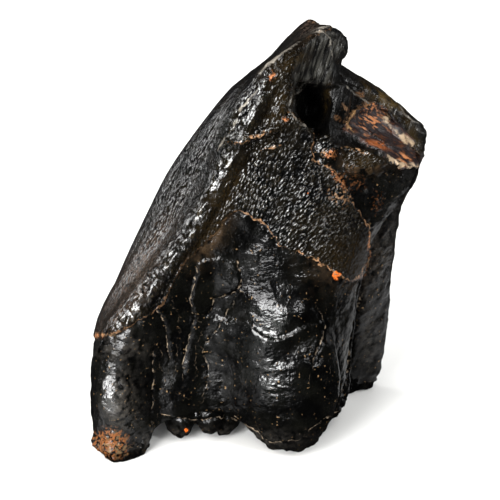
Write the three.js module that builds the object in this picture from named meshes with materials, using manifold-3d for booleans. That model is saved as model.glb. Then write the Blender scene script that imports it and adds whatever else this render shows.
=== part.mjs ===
// A worn upper cheek tooth of a woolly rhinoceros, standing on the stumps of its roots.
// Millimetres, +Z up. -X is the cheek side, +X the tongue side, -Y the back of the jaw and +Y the front.
// One grown piece: a leaning crown with a high outer blade and two cross crests, above four root stumps.
import * as THREE from "three";
import { mergeVertices } from "three/addons/utils/BufferGeometryUtils.js";
import Module from "manifold-3d";

const wasm = await Module();
wasm.setup();

// Driving dimensions.
const footPlane = 0; // what the root stumps stand on
const wallTop = 84; // the outer wall is lofted past the highest cusp, and wear then cuts it down
const wallBottom = -1.5; // and past the root ends, which are broken back to the foot plane
const wallStep = 3; // height of one ring of the outer wall
const ringSteps = 3; // points on each ring from one upright line to the next
const stationStep = 2; // spacing of the sections of the two long cutters, along Y
const sectionSteps = 2; // points on each section from one named point to the next
const clear = 60; // how far a cutter reaches past the tooth
const turnOut = 6; // how far a long cutter's face turns outward on its way to clear

// The outer wall, as upright lines that follow its ridges and grooves: [height, x, y], from root to crown.
// They go once round the tooth, anticlockwise seen from above, from the back corner of the cheek side.
const uprights = {
  cheekRidge: [[-2, -30.4, 6], [11, -31, 5], [20, -30.5, 4.6], [26, -27.7, 4.4], [34, -21.7, 4],
    [41, -15.8, 3.6], [49, -10.9, 3.6], [59, -6.4, 4.2], [69, -3.1, 4.8], [74, -0.2, 5.6], [77, 3.3, 6.5],
    [79, 7.2, 9], [80.2, 11.5, 14], [84, 17, 18]],
  ridgeFlank: [[-2, -25.6, 2.4], [11, -26.4, 1], [20, -26, 1.6], [26, -23.8, 2.9], [34, -18.8, 3],
    [41, -13.2, 2.8], [49, -8.4, 3], [59, -3.8, 3.7], [69, -0.4, 4.5], [74, 2.6, 5.3], [77, 5, 6],
    [80, 12.4, 13], [84, 18, 17.4]],
  rootGroove: [[-2, -20.6, 7], [11, -20, 6.4], [20, -19.2, 6.2], [29, -15.8, 5.4], [41, -10.6, 4.4],
    [50, -5.8, 4.2], [60, -1.2, 4.8], [70, 2.6, 5.2], [76, 5.6, 6.4], [80, 13.4, 12.4], [84, 19, 17]],
  flatCheek: [[-2, -14.6, 8.8], [11, -13.8, 8.4], [21, -13.2, 7.6], [31, -11.6, 6.2], [41, -7.4, 4.9],
    [50, -2.6, 4.6], [60, 1.6, 5.2], [70, 5, 6], [77, 7.4, 8], [80, 14.4, 12], [84, 20, 16.6]],
  flatTongue: [[-2, -8, 9.6], [11, -6.6, 8.6], [21, -6, 7.4], [31, -5, 5.8], [41, -2.6, 4.8],
    [50, 1.2, 4.8], [60, 5.2, 6.2], [66, 7, 7], [72, 9, 8.4], [80, 16, 12], [84, 21, 16]],
  swellCheek: [[-2, -2.6, 9.4], [11, -1.8, 5.2], [21, -1.2, 3.6], [31, -0.2, 3.2], [41, 2, 4], [50, 5, 5.2],
    [60, 9, 7], [66, 11, 8], [84, 24, 14.4]],
  swell: [[-2, 3.4, 8.8], [11, 3.2, 3], [21, 3.2, 1.6], [31, 4, 2.4], [41, 6.4, 4.2], [50, 9, 5.8],
    [60, 12.8, 8.4], [84, 27, 14]],
  swellTongue: [[-2, 8.4, 11], [11, 9, 5.6], [21, 9.6, 4], [31, 10.4, 4.4], [41, 12, 5.8], [50, 14, 7.6],
    [60, 17.6, 10], [84, 31, 14]],
  hypoconeBack: [[-2, 12, 15.6], [11, 13.6, 11.4], [21, 14.8, 9.8], [31, 16, 9.6], [41, 17.6, 9.8],
    [50, 19.6, 10.4], [58, 22.4, 12], [84, 35, 15]],
  hypocone: [[-2, 16, 24], [4, 17.6, 23], [11, 18, 20], [21, 18.6, 17.6], [31, 19.8, 16.8], [41, 22.6, 17],
    [48, 28, 18.6], [56, 30.6, 20.4], [84, 40, 21]],
  tongueGroove: [[-2, 14, 30], [11, 16.2, 28.6], [21, 18, 27.2], [31, 20, 26.6], [41, 23, 26.8],
    [50, 27, 27.4], [56, 30.4, 28], [84, 41, 28]],
  protoconeBack: [[-2, 17.6, 36], [11, 20, 33.4], [21, 22.6, 31.4], [31, 24.4, 30.6], [41, 26.6, 31],
    [51, 30.6, 31.6], [84, 42, 32]],
  protocone: [[-2, 22.6, 39.4], [4, 24.6, 38], [11, 25.4, 37], [18, 26, 36.4], [30, 26.9, 35.8],
    [37, 27.6, 35.8], [41, 28.6, 35.8], [45, 30.9, 35.6], [51, 32.2, 35.8], [54, 32.7, 36],
    [84, 42, 36.4]],
  protoconeFront: [[-2, 17, 43], [11, 20, 43.4], [25, 22.4, 43.6], [40, 25, 43.6], [54, 29, 43],
    [84, 38, 42.6]],
  frontFace: [[-2, 2, 40.6], [12, 4, 42.4], [25, 6, 43.6], [54, 17, 44], [84, 28, 42.6]],
  frontFaceCheek: [[-2, -13, 40.6], [12, -12, 42], [25, -8.6, 43.4], [54, 5, 44], [70, 13, 43],
    [84, 20, 42]],
  parastyle: [[-2, -25.6, 41], [12, -27.4, 42.6], [22, -24.6, 43.6], [31, -21, 44], [47, -13.4, 43.8],
    [60, -4.4, 43], [68, 4.4, 42], [84, 17, 40.6]],
  parastyleGroove: [[-2, -29.6, 38.6], [12, -30.2, 39.6], [22, -26.8, 40.2], [31, -22.8, 40.2],
    [47, -15, 40], [60, -6, 39.6], [68, 2.4, 39], [84, 16, 38.4]],
  paraconeRib: [[-2, -31.6, 33], [12, -31.7, 34], [18, -29.9, 35], [23, -27.7, 35], [30.5, -24.5, 35],
    [38.7, -20.7, 35], [47, -16.6, 35], [55, -11.1, 35], [63, -5, 35], [65.5, -2.6, 35], [67.4, 0.6, 35],
    [72, 4.6, 34.6], [77, 9.5, 34], [84, 16, 33.6]],
  ribValley: [[-2, -29.6, 26], [12, -30.2, 28], [18, -29, 28], [31, -22.6, 28], [47, -14.2, 28],
    [60, -6, 28], [68, 0.6, 28], [77, 8.6, 28], [84, 15.6, 28.6]],
  mesostyleRib: [[-2, -29.8, 20], [12, -31.4, 20], [20, -30.8, 20], [26, -28.6, 20], [34, -24, 20],
    [41, -20.4, 20], [49, -16, 20], [59.4, -10.6, 20], [70.4, -1.5, 21], [73, 2.2, 21.6], [76.3, 6.1, 22],
    [80, 11, 21.6], [84, 17, 21.4]],
  cheekBand: [[-2, -28.6, 12], [12, -30.6, 12], [20, -30, 12], [26, -27.4, 12], [34, -22, 12],
    [41, -17, 12], [49, -12.6, 12], [59, -7.6, 12], [70, -1.4, 13], [77, 5.6, 13], [80, 10.6, 16],
    [84, 17, 19.4]],
};

// The worn top, as sections across the tooth at y, each [x, z] from the cheek side to the tongue side:
// crest of the blade, its inner edge, its foot, the basin, the slope of the cross crests and their end.
const wornTop = [
  { y: 48, line: [[6, 62], [10, 62], [14, 62.6], [18, 60.6], [24, 57], [33, 49]] },
  { y: 41, line: [[8.6, 70.6], [11.6, 69.4], [15, 67], [18, 65.2], [24, 61.4], [33, 53.4]] },
  { y: 37, line: [[9.6, 75], [12.6, 71.6], [15, 68.4], [18, 66], [24, 62.2], [33, 54.2]] },
  { y: 33, line: [[10.4, 77.6], [13.6, 73.6], [14.6, 69.4], [17, 66], [23, 61.8], [32, 54.2]] },
  { y: 27, line: [[12.4, 76.4], [15, 73.4], [14, 68.2], [17, 65.4], [23, 61.2], [31, 53.4]] },
  { y: 22, line: [[14, 79], [16.4, 76], [14.6, 69.6], [16.8, 63.6], [23, 60], [31, 53]] },
  { y: 18, line: [[13.2, 80.6], [15.4, 77.6], [13.8, 69.4], [16.4, 61], [23, 58.2], [31, 52.6]] },
  { y: 14, line: [[10, 81.4], [12.2, 79], [11, 69.4], [14.6, 61.4], [20, 57.8], [28, 53.4]] },
  { y: 9, line: [[5, 81.5], [7.6, 79.8], [6.5, 69.8], [8.8, 63.6], [18, 59], [27, 54]] },
  { y: 6.5, line: [[1, 80], [6.4, 79], [6.3, 69.4], [8.6, 63.4], [18, 59], [27, 54]] },
  { y: -8, line: [[-3, 73], [6, 74.5], [6.2, 68.6], [8.4, 63.2], [18, 59], [27, 54]] },
];

// The broken underside, in the same way: two root stumps at the back, the hollow between the roots and
// its arches out, and two stumps at the front. What falls below the foot plane is cut off flat.
const brokenFoot = [
  { y: 50, line: [[-33, 1.8], [-29, -0.2], [-25, -0.8], [-20, 2.4], [-16, 5.4], [-11, 6.6], [-6, 6.8],
    [0, 6.4], [7, 5], [13, 1.8], [18, -0.8], [23, -0.2]] },
  { y: 36, line: [[-33, 1.6], [-29, -0.4], [-25, -0.8], [-20, 2], [-16, 6], [-11, 8], [-6, 8.4], [0, 8],
    [7, 6.6], [13, 3], [18, -0.6], [22, -0.4]] },
  { y: 30, line: [[-33, 4.4], [-29, 3], [-25, 3], [-20, 6.4], [-16, 9], [-11, 10], [-6, 10], [0, 10],
    [6, 9.4], [12, 6], [17, 3], [21, 2]] },
  { y: 23, line: [[-33, 6.6], [-29, 6.4], [-25, 7.2], [-20, 9], [-16, 10], [-11, 10.4], [-6, 10.4],
    [-1, 10], [4, 9], [9, 6.4], [14, 4.4], [20, 3.4]] },
  { y: 16, line: [[-33, 5.6], [-29, 4.4], [-25, 4.2], [-20, 6.6], [-16, 7.8], [-11, 8], [-6, 8], [-1, 7.6],
    [3, 5.6], [8, 2.2], [12, 0.8], [18, 2.6]] },
  { y: 9, line: [[-33, 4], [-29, 1], [-24.6, -0.8], [-21, 0.8], [-19.2, 5], [-13, 7.2], [-7, 7.4],
    [-2, 5.6], [0.8, 2], [4, -0.4], [8, -0.2], [15, 2.4]] },
  { y: -8, line: [[-33, 5], [-29, 2.4], [-24.6, -0.6], [-21.2, 0.8], [-19.6, 4.6], [-13, 7], [-7, 7.2],
    [-2, 5], [0.6, 1.8], [3.4, -0.4], [8, 0.2], [14, 3]] },
];

// Evenly spaced points on a closed curve through the given points.
function ring(points) {
  const steps = points.length * ringSteps;
  return new THREE.CatmullRomCurve3(points, true, "centripetal").getPoints(steps).slice(0, steps);
}

// A closed solid through rings that lie one above another, each anticlockwise seen from above.
function loft(rings) {
  const count = rings[0].length;
  const index = [];
  for (let level = 1; level < rings.length; level++) {
    const low = (level - 1) * count;
    const high = level * count;
    for (let i = 0; i < count; i++) {
      const next = (i + 1) % count;
      index.push(low + i, low + next, high + next, low + i, high + next, high + i);
    }
  }
  const top = (rings.length - 1) * count;
  const lowCap = THREE.ShapeUtils.triangulateShape(rings[0], []);
  const highCap = THREE.ShapeUtils.triangulateShape(rings.at(-1), []);
  for (const [a, b, c] of lowCap) index.push(a, c, b);
  for (const [a, b, c] of highCap) index.push(top + a, top + b, top + c);
  return new THREE.BufferGeometry().setFromPoints(rings.flat()).setIndex(index);
}

// A closed three.js geometry as a solid that can be cut and joined.
function solid(geometry) {
  const bare = geometry.clone();
  bare.deleteAttribute("normal");
  bare.deleteAttribute("uv");
  const merged = mergeVertices(bare, 1e-4);
  return new wasm.Manifold(new wasm.Mesh({
    numProp: 3,
    vertProperties: merged.attributes.position.array,
    triVerts: new Uint32Array(merged.index.array),
  }));
}

// An egg shape with its three half widths, turned about Z and then about Y.
function egg(centre, halfWidths, turnZ = 0, turnY = 0) {
  const geometry = new THREE.SphereGeometry(1, 16, 10).scale(...halfWidths);
  geometry.rotateZ(turnZ).rotateY(turnY).translate(...centre);
  return solid(geometry);
}

function outerWall() {
  const lines = Object.values(uprights).map((points) => new THREE.CubicInterpolant(
    points.map(([height]) => height), points.flatMap(([, x, y]) => [x, y]), 2));
  const levels = Math.round((wallTop - wallBottom) / wallStep);
  const rings = [];
  for (let level = 0; level <= levels; level++) {
    const height = THREE.MathUtils.lerp(wallBottom, wallTop, level / levels);
    rings.push(ring(lines.map((line) => {
      const [x, y] = line.evaluate(height);
      return new THREE.Vector3(x, y, height);
    })));
  }
  return solid(loft(rings));
}

// A cutter whose face follows a list of sections along Y. Past both ends of a section it turns outward a
// little, so that it leaves the outer wall alone, and behind its face it is filled up to z = back.
function sweptFace(sections, back) {
  const stations = sections.map(({ y }) => -y);
  const face = new THREE.CubicInterpolant(stations, sections.flatMap(({ line }) => line.flat()),
    sections[0].line.length * 2);
  const levels = Math.round((stations.at(-1) - stations[0]) / stationStep);
  const rings = [];
  for (let level = 0; level <= levels; level++) {
    const depth = THREE.MathUtils.lerp(stations[0], stations.at(-1), level / levels);
    const flat = face.evaluate(depth);
    const knots = [];
    for (let i = 0; i < flat.length; i += 2) knots.push(new THREE.Vector3(flat[i], flat[i + 1], depth));
    const curve = new THREE.CatmullRomCurve3(knots, false, "centripetal");
    const section = curve.getPoints((knots.length - 1) * sectionSteps);
    const rise = Math.sign(back) * turnOut;
    section.unshift(new THREE.Vector3(-clear, section[0].y + rise, depth));
    section.push(new THREE.Vector3(clear, section.at(-1).y + rise, depth));
    section.push(new THREE.Vector3(clear, back, depth), new THREE.Vector3(-clear, back, depth));
    rings.push(back > section[0].y ? section : section.reverse());
  }
  return solid(loft(rings).rotateX(Math.PI / 2));
}

// A well through ovals that lie one above another: { z, centre, half } with the half widths along X and Y.
function well(ovals) {
  const around = 20;
  return solid(loft(ovals.map(({ z, centre, half }) => {
    const oval = new THREE.EllipseCurve(...centre, ...half).getPoints(around).slice(0, around);
    return oval.map(({ x, y }) => new THREE.Vector3(x, y, z));
  })));
}

// The round pit behind the back crest, with a bay cut into the foot of the blade.
function backPit() {
  return well([
    { z: 48, centre: [9, 15], half: [1.4, 1.8] },
    { z: 54, centre: [9.2, 14.6], half: [2.5, 3.1] },
    { z: 60, centre: [9.5, 13.4], half: [3.4, 3.8] },
    { z: 66, centre: [9.6, 12.8], half: [4, 3.9] },
    { z: 72, centre: [9.8, 12.4], half: [4, 3.7] },
  ]).add(egg([12.4, 17.4, 68.6], [1.7, 2.2, 5.2]));
}

// The deep valley between the two cross crests, open on the tongue side.
function middleValley() {
  return well([
    { z: 42, centre: [40, 31.6], half: [14, 1.8] },
    { z: 48, centre: [40, 31.8], half: [19.6, 2.9] },
    { z: 54, centre: [40, 31.9], half: [22.4, 3.5] },
    { z: 62, centre: [40, 32.1], half: [24.2, 3.9] },
    { z: 72, centre: [40, 32.4], half: [25, 4.4] },
  ]);
}

// The broken faces of the two crests: the dished dentine of the back one and a worn facet on the front one.
function crestBreaks() {
  return egg([24.8, 22.2, 60.6], [7.8, 4.8, 3.4], 0, 0.68)
    .add(egg([28.8, 38.2, 59.6], [2.9, 1.8, 1.7], 0, 0.78))
    .add(egg([20.4, 15.4, 59.8], [5.6, 2, 1.8], 0, 0.5));
}

// The rounded pillars of the low rim behind the back pit.
function rimKnobs() {
  return egg([19.8, 12.4, 56], [4.2, 3.1, 3.3])
    .add(egg([12.3, 9.2, 59.6], [1.5, 1.5, 3.5]))
    .add(egg([5.4, 7, 65.6], [1, 1, 1.2]));
}

// Lumps of the broken inner root walls that show under the arch between the two back roots.
function innerRoots() {
  return egg([-14.6, 12.8, 5.4], [3, 3.2, 4.4])
    .add(egg([-9, 13, 5.8], [3, 3.2, 4.4]))
    .add(egg([-5.2, 14.2, 5.4], [2.6, 2.4, 5.2], 0, 0.3));
}

function groundCut() {
  const depth = clear / 2;
  return solid(new THREE.BoxGeometry(2 * clear, 2 * clear, depth).translate(0, 0, footPlane - depth / 2));
}

function wornTooth() {
  return outerWall()
    .add(rimKnobs())
    .subtract(sweptFace(wornTop, wallTop + clear))
    .subtract(backPit())
    .subtract(middleValley())
    .subtract(crestBreaks())
    .subtract(sweptFace(brokenFoot, wallBottom - clear))
    .add(innerRoots())
    .subtract(groundCut());
}

// The finished solid as three.js geometry, standing over the middle of its own footprint.
function centredGeometry(manifold) {
  const { vertProperties, triVerts } = manifold.getMesh();
  const geometry = new THREE.BufferGeometry()
    .setAttribute("position", new THREE.BufferAttribute(vertProperties, 3))
    .setIndex(new THREE.BufferAttribute(triVerts, 1));
  geometry.computeBoundingBox();
  const middle = geometry.boundingBox.getCenter(new THREE.Vector3());
  return geometry.translate(-middle.x, -middle.y, -footPlane);
}

const enamel = new THREE.MeshStandardMaterial({ color: 0x1c1a17, roughness: 0.35, metalness: 0 });

const tooth = new THREE.Mesh(centredGeometry(wornTooth()), enamel);
tooth.name = "tooth";

const fossil = new THREE.Group();
fossil.add(tooth);

export default fossil;
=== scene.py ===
import math

import bmesh
import bpy
import numpy as np
from mathutils import Matrix, Vector


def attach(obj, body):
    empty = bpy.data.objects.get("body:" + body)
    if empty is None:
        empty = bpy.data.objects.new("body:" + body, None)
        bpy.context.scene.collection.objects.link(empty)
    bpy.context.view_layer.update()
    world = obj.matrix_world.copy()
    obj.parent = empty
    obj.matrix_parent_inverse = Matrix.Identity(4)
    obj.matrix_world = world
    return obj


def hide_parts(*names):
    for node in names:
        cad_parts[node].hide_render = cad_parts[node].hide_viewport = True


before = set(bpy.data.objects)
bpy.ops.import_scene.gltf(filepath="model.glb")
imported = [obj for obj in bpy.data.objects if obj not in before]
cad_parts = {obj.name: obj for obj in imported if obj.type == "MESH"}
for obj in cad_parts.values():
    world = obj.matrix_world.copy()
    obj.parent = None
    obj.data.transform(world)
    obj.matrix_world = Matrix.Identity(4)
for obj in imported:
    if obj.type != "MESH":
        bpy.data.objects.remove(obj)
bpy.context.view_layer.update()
mm = 0.001  # shapes are worked out in millimetres and set into the scene in metres
print("frame loaded")


def linear(hexColour):
    # one sRGB hex colour as linear RGBA
    parts = [int(hexColour[i:i + 2], 16) / 255 for i in (1, 3, 5)]
    curve = [p / 12.92 if p <= 0.04045 else ((p + 0.055) / 1.055) ** 2.4 for p in parts]
    return (*curve, 1.0)


def wire(tree, node, inputs):
    # links or sets inputs of a node
    for socket, value in inputs.items():
        if isinstance(value, bpy.types.NodeSocket):
            tree.links.new(value, node.inputs[socket])
        else:
            node.inputs[socket].default_value = value


def put(tree, kind, inputs=None, **settings):
    # adds one node, with its settings, values and links
    node = tree.nodes.new(kind)
    for name, value in settings.items():
        setattr(node, name, value)
    wire(tree, node, inputs or {})
    return node


# Camera: a long lens a little above the tooth, square to the back of its crown.
cameraSet = {
    "elevation": 20.0,  # degrees
    "distance": 600.0,  # to the aim
    "fieldWidth": 94.34,  # what the frame spans at the aim
    "aim": (-1.7, -4.76, 36.8),
    "sensor": 36.0,
    "clip": (0.01, 20),  # metres
}


def makeCamera(c):
    tilt = math.radians(c["elevation"])
    data = bpy.data.cameras.new("camera")
    data.sensor_width = c["sensor"]
    data.lens = c["sensor"] * c["distance"] / c["fieldWidth"]
    data.clip_start, data.clip_end = c["clip"]
    eye = bpy.data.objects.new("camera", data)
    back = Vector((0, -math.cos(tilt), math.sin(tilt)))
    eye.location = (Vector(c["aim"]) + back * c["distance"]) * mm
    eye.rotation_mode = "QUATERNION"
    eye.rotation_quaternion = (-back).to_track_quat("-Z", "Y")
    bpy.context.scene.collection.objects.link(eye)
    bpy.context.scene.camera = eye


makeCamera(cameraSet)

# Studio: a pale table, two far lamps that light it evenly, six boxes whose reflections are the glints, and
# five small cards on the table that light the root from below. Turn is degrees from the camera, to its right.
studio = {
    "tableSize": 6.0,  # metres
    "tableColour": "#dadad8",
    "tableRoughness": 0.9,
    "tableGloss": 0.1,
    "surround": "#ffffff",
    "surroundStrength": 0.025,
    "middle": (0, 0, 0.04),  # what lamps and boxes point at
    "lampDistance": 1.5,
    "lamps": [
        # name, turn, height and spread in degrees, strength, colour, and whether it shows in gloss
        ("keyLamp", -32, 48, 11, 1.0, "#fffaf4", True),
        ("topLamp", 42, 64, 100, 3.3, "#ffffff", False),
    ],
    "boxes": [
        # name, turn, height in degrees, distance, width, height of the box, watts
        ("frontBox", -20, 16, 0.65, 0.16, 0.42, 9.0),
        ("leftBox", -40, 7, 0.80, 0.18, 0.30, 7.0),
        ("sideBox", 38, 26, 0.65, 0.10, 0.14, 2.0),
        ("upperBox", -85, 55, 0.90, 0.45, 0.45, 2.4),
        ("backLeftBox", -122, 22, 0.80, 0.24, 0.55, 4.1),
        ("rightBox", 112, 14, 0.80, 0.26, 0.36, 0.5),
    ],
    "cards": [
        # name, place, width, depth, watts
        ("frontCard", (-0.016, -0.078, 0.002), 0.02, 0.03, 0.003),
        ("bulgeCard", (-0.032, -0.055, 0.002), 0.03, 0.036, 0.014),
        ("leftCard", (-0.040, -0.035, 0.002), 0.05, 0.04, 0.004),
        ("nearCard", (0.045, 0.03, 0.002), 0.05, 0.05, 0.0035),
        ("farCard", (0.20, -0.02, 0.002), 0.20, 0.26, 0.015),
    ],
}


def outward(turn, height):
    a, e = math.radians(turn), math.radians(height)
    return Vector((math.sin(a) * math.cos(e), -math.cos(a) * math.cos(e), math.sin(e)))


def makeStudio(s):
    scene = bpy.context.scene
    scene.view_settings.view_transform = "Standard"
    half = s["tableSize"] / 2
    table = bpy.data.meshes.new("table")
    corners = [(-half, -half, 0), (half, -half, 0), (half, half, 0), (-half, half, 0)]
    table.from_pydata(corners, [], [(0, 1, 2, 3)])
    floor = bpy.data.objects.new("table", table)
    scene.collection.objects.link(floor)
    floor.visible_glossy = False  # kept out of the gloss, as black card would, so black stays black
    paint = bpy.data.materials.new("matt_table_paint")  # rolled on flat, an even ground without sheen
    paint.use_nodes = True
    wire(paint.node_tree, paint.node_tree.nodes["Principled BSDF"], {
        "Base Color": linear(s["tableColour"]), "Roughness": s["tableRoughness"],
        "Specular IOR Level": s["tableGloss"]})
    table.materials.append(paint)
    world = bpy.data.worlds.new("surround")
    scene.world = world
    world.use_nodes = True
    wire(world.node_tree, world.node_tree.nodes["Background"], {
        "Color": linear(s["surround"]), "Strength": s["surroundStrength"]})
    middle = Vector(s["middle"])
    for name, turn, height, spread, strength, colour, shines in s["lamps"]:
        data = bpy.data.lights.new(name, "SUN")
        data.angle = math.radians(spread)
        data.energy = strength
        data.color = linear(colour)[:3]
        hang(data, outward(turn, height), middle, s["lampDistance"]).visible_glossy = shines
    for name, turn, height, distance, width, tall, watts in s["boxes"]:
        hang(panel(name, width, tall, watts), outward(turn, height), middle, distance)
    for name, place, width, depth, watts in s["cards"]:
        hang(panel(name, width, depth, watts), Vector((0, 0, -1)), Vector(place), 0)  # facing up


def panel(name, width, tall, watts):
    data = bpy.data.lights.new(name, "AREA")
    data.shape = "RECTANGLE"
    data.size = width
    data.size_y = tall
    data.energy = watts
    return data


def hang(data, out, middle, distance):
    light = bpy.data.objects.new(data.name, data)
    light.location = middle + out * distance
    light.rotation_mode = "QUATERNION"
    light.rotation_quaternion = (-out).to_track_quat("-Z", "Y")
    light.visible_camera = False  # a box behind the tooth doesn't show in a turned view
    bpy.context.scene.collection.objects.link(light)
    return light


makeStudio(studio)
print("camera and studio made")

# The skin of the tooth, before any detail. Lumps and hollows are joined to the form first.
skin = {
    "step": 0.30,  # of the even mesh
    "quickStep": 0.55,
    "softenRounds": 16,
    "softenShare": 0.5,
    "triangles": 196000,
    "eggSteps": 24,
    "masses": [
        # what, join or cut, centre, half sizes across, deep and tall, lean back and turn in degrees
        ("facetFoot", "UNION", (10.3, -5.6, 71.6), (4.3, 3.4, 3.4), 20, 0),
        ("pitBack", "UNION", (13.6, -3.6, 66.0), (3.6, 3.6, 5.0), 20, 0),
        ("pit", "DIFFERENCE", (9.9, -9.5, 66.6), (3.75, 9.5, 4.4), 20, 0),
        ("nearTip", "UNION", (13.2, -3.2, 76.3), (3.2, 3.2, 3.7), 0, 0),
        ("knobColumn", "UNION", (12.4, -14.2, 60.0), (1.5, 1.6, 3.0), 10, 0),
        ("knob", "UNION", (19.6, -12.6, 56.6), (4.2, 2.2, 2.7), 10, 20),
        ("bulge", "UNION", (5.4, -17.0, 28.2), (5.6, 4.4, 6.2), 0, 0),
        ("bulgeFoot", "UNION", (6.3, -16.0, 15.5), (9.0, 6.3, 14.5), 5, 0),
        ("cheekRoot", "UNION", (-27.2, -19.4, 13.0), (3.6, 2.9, 7.0), 6, 0),
    ],
}


def applied(piece):
    # the piece with its modifiers worked into its mesh
    graph = bpy.context.evaluated_depsgraph_get()
    made = bpy.data.meshes.new_from_object(piece.evaluated_get(graph))
    piece.modifiers.clear()
    old = piece.data
    piece.data = made
    bpy.data.meshes.remove(old)
    return piece


def egg(name, centre, halves, lean, turn, steps):
    shell = bmesh.new()
    bmesh.ops.create_uvsphere(shell, u_segments=steps, v_segments=steps // 2, radius=1)
    size = Matrix.Diagonal((*halves, 1))
    tip = Matrix.Rotation(math.radians(-lean), 4, "X")
    spin = Matrix.Rotation(math.radians(turn), 4, "Z")
    bmesh.ops.transform(shell, matrix=Matrix.Translation(centre) @ spin @ tip @ size, verts=shell.verts)
    mesh = bpy.data.meshes.new(name)
    shell.to_mesh(mesh)
    shell.free()
    return bpy.data.objects.new(name, mesh)


def evenSkin(node, s):
    mesh = node.data.copy()
    mesh.materials.clear()
    mesh.transform(Matrix.Scale(1 / mm, 4))
    piece = bpy.data.objects.new("fossil_tooth", mesh)
    bpy.context.scene.collection.objects.link(piece)
    for name, how, centre, halves, lean, turn in s["masses"]:
        mass = egg(name, centre, halves, lean, turn, s["eggSteps"])
        bpy.context.scene.collection.objects.link(mass)
        joint = piece.modifiers.new(name, "BOOLEAN")
        joint.operation = how
        joint.object = mass
        applied(piece)
        bpy.data.objects.remove(mass)
    remesh = piece.modifiers.new("even", "REMESH")
    remesh.mode = "VOXEL"
    remesh.voxel_size = s["step"]
    soften = piece.modifiers.new("soften", "SMOOTH")
    soften.factor = s["softenShare"]
    soften.iterations = s["softenRounds"]
    return applied(piece)


tooth = evenSkin(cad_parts["tooth"], skin)
print("even skin:", len(tooth.data.vertices), "points")


def vectors(holder, key):
    # one vector for each item of a mesh's list, as rows
    values = np.zeros(len(holder) * 3, np.float32)
    holder.foreach_get(key, values)
    return values.reshape(-1, 3)


# Noise and distances, the tools that the marks below are drawn with.
latticeCells = 64


def noise(points, size, seed):
    # soft lumps from about -1 to 1, one for each size; size is one length or one for each axis
    rng = np.random.default_rng(seed)
    slopes = rng.standard_normal((latticeCells ** 3, 3), np.float32)
    slopes /= np.linalg.norm(slopes, axis=1, keepdims=True)
    place = (points / np.asarray(size, np.float32) + 31.7).astype(np.float32)
    floors = np.floor(place)
    part = place - floors
    cell = floors.astype(np.int32)
    blend = part * part * part * (part * (part * 6 - 15) + 10)
    total = np.zeros(len(points), np.float32)
    for corner in range(8):
        at = np.zeros(len(points), np.int32)
        share = np.ones(len(points), np.float32)
        away = []
        for axis in range(3):
            step = corner >> axis & 1
            at = at * latticeCells + (cell[:, axis] + step) % latticeCells
            share *= blend[:, axis] if step else 1 - blend[:, axis]
            away.append(part[:, axis] - np.float32(step))
        slope = slopes[at]
        total += share * (slope[:, 0] * away[0] + slope[:, 1] * away[1] + slope[:, 2] * away[2])
    return total * np.float32(1.6)


def lumps(points, size, seed, rounds=3):
    # noise at several sizes, each half the last
    size = np.asarray(size, np.float32)
    return sum(noise(points, size / 2 ** i, seed + i) / 2 ** i for i in range(rounds)) / 1.5


def ease(value, low, high):
    t = np.clip((value - low) / (high - low), 0, 1)
    return t * t * (3 - 2 * t)


def hump(value, width):
    return np.exp(-(value / width) ** 2)


def turned(points, along):
    # points in axes turned in the plane of the back face: first along the grain, then across it, then deep
    a = math.radians(along)
    x, y, z = points[:, 0], points[:, 1], points[:, 2]
    return np.stack([x * math.cos(a) + z * math.sin(a), -x * math.sin(a) + z * math.cos(a), y], 1)


def lineSides(across, up, line, closed=False):
    # distance to a drawn line, and on which side of it each point lies (left of its direction is +1)
    nearest = np.full(len(across), 1e6, np.float32)
    side = np.ones(len(across), np.float32)
    inside = np.zeros(len(across), bool)
    ends = list(line) + ([line[0]] if closed else [])
    for (x0, y0), (x1, y1) in zip(ends, ends[1:]):
        dx, dy = x1 - x0, y1 - y0
        t = np.clip(((across - x0) * dx + (up - y0) * dy) / (dx * dx + dy * dy), 0, 1)
        gap = np.hypot(across - x0 - t * dx, up - y0 - t * dy)
        closer = gap < nearest
        nearest = np.where(closer, gap, nearest)
        turn = dx * (up - y0) - dy * (across - x0)
        side = np.where(closer, np.sign(turn), side)
        if closed:
            crosses = (y0 > up) != (y1 > up)
            inside ^= crosses & ((turn > 0) == (dy > 0))
    if closed:
        return np.where(inside, nearest, -nearest)
    return nearest, side


# Where a point shows on the back face: millimetres across and up, measured on the plane through the aim.
tilt = math.radians(cameraSet["elevation"])
lookAlong = np.array([0, math.cos(tilt), -math.sin(tilt)])
lookUp = np.array([0, math.sin(tilt), math.cos(tilt)])
eyePoint = np.array(cameraSet["aim"]) - lookAlong * cameraSet["distance"]


def backPlane(points):
    away = points - eyePoint
    scale = cameraSet["distance"] / (away @ lookAlong)
    return away[:, 0] * scale, (away @ lookUp) * scale


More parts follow.
